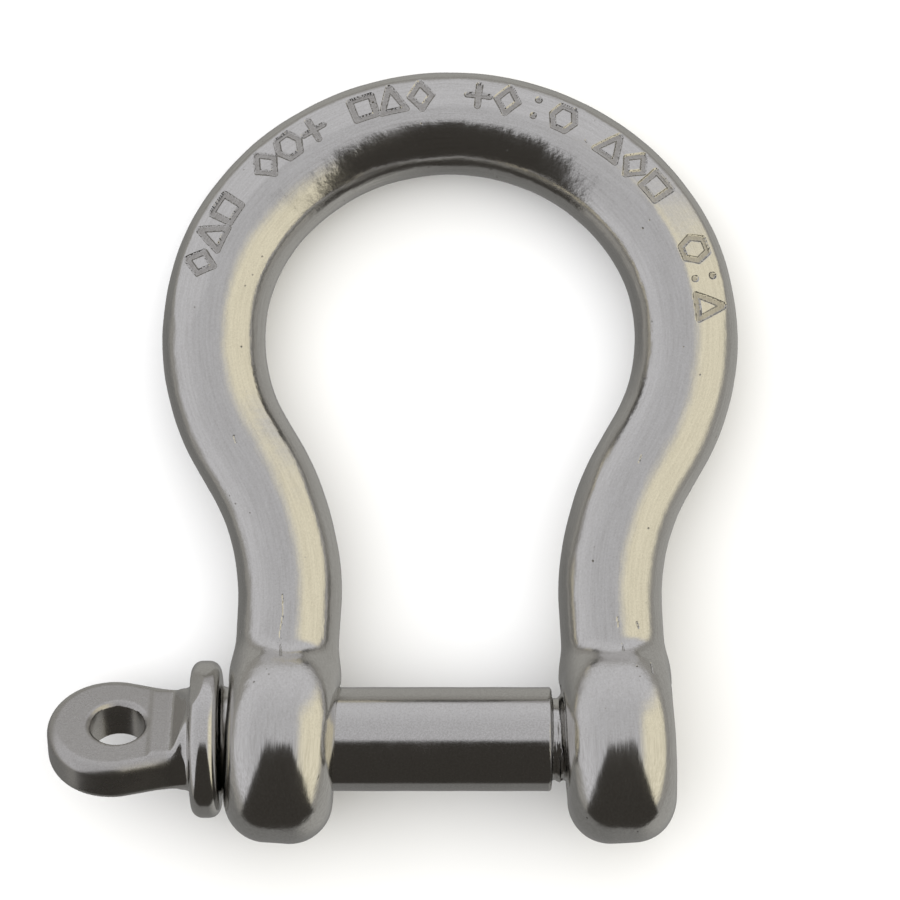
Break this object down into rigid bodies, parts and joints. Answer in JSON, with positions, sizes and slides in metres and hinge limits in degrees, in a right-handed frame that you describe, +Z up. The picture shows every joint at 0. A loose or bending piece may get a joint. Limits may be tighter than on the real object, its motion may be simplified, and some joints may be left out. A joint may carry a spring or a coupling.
{
  "type": "screw-pin bow shackle",
  "caption": "Small polished stainless screw-pin bow shackle: a round bar bent to a wide bow with drilled lugs, closed by a threaded pin with a flattened eye.",
  "frame": {"origin": "on the pin's axis, midway between the inner faces of the two lugs", "axes": "+X along the pin from its eye towards its threaded end, +Y from the pin towards the crown of the bow, +Z up from the table that the shackle lies on"},
  "size_m": [0.0423, 0.0475, 0.0128],
  "materials": {
    "bow_steel": "polished",
    "pin_steel": "turned and polished, with ground flats on the eye"
  },
  "bodies": {
    "bow": {"bow": "bow_steel"},
    "screw_pin": {"screw_pin": "pin_steel"}
  },
  "joints": [
    {"name": "pin_draw", "type": "slide", "parent": "bow", "child": "screw_pin", "axis": [-1, 0, 0], "range_m": [-0.00015, 0.042]}
  ]
}
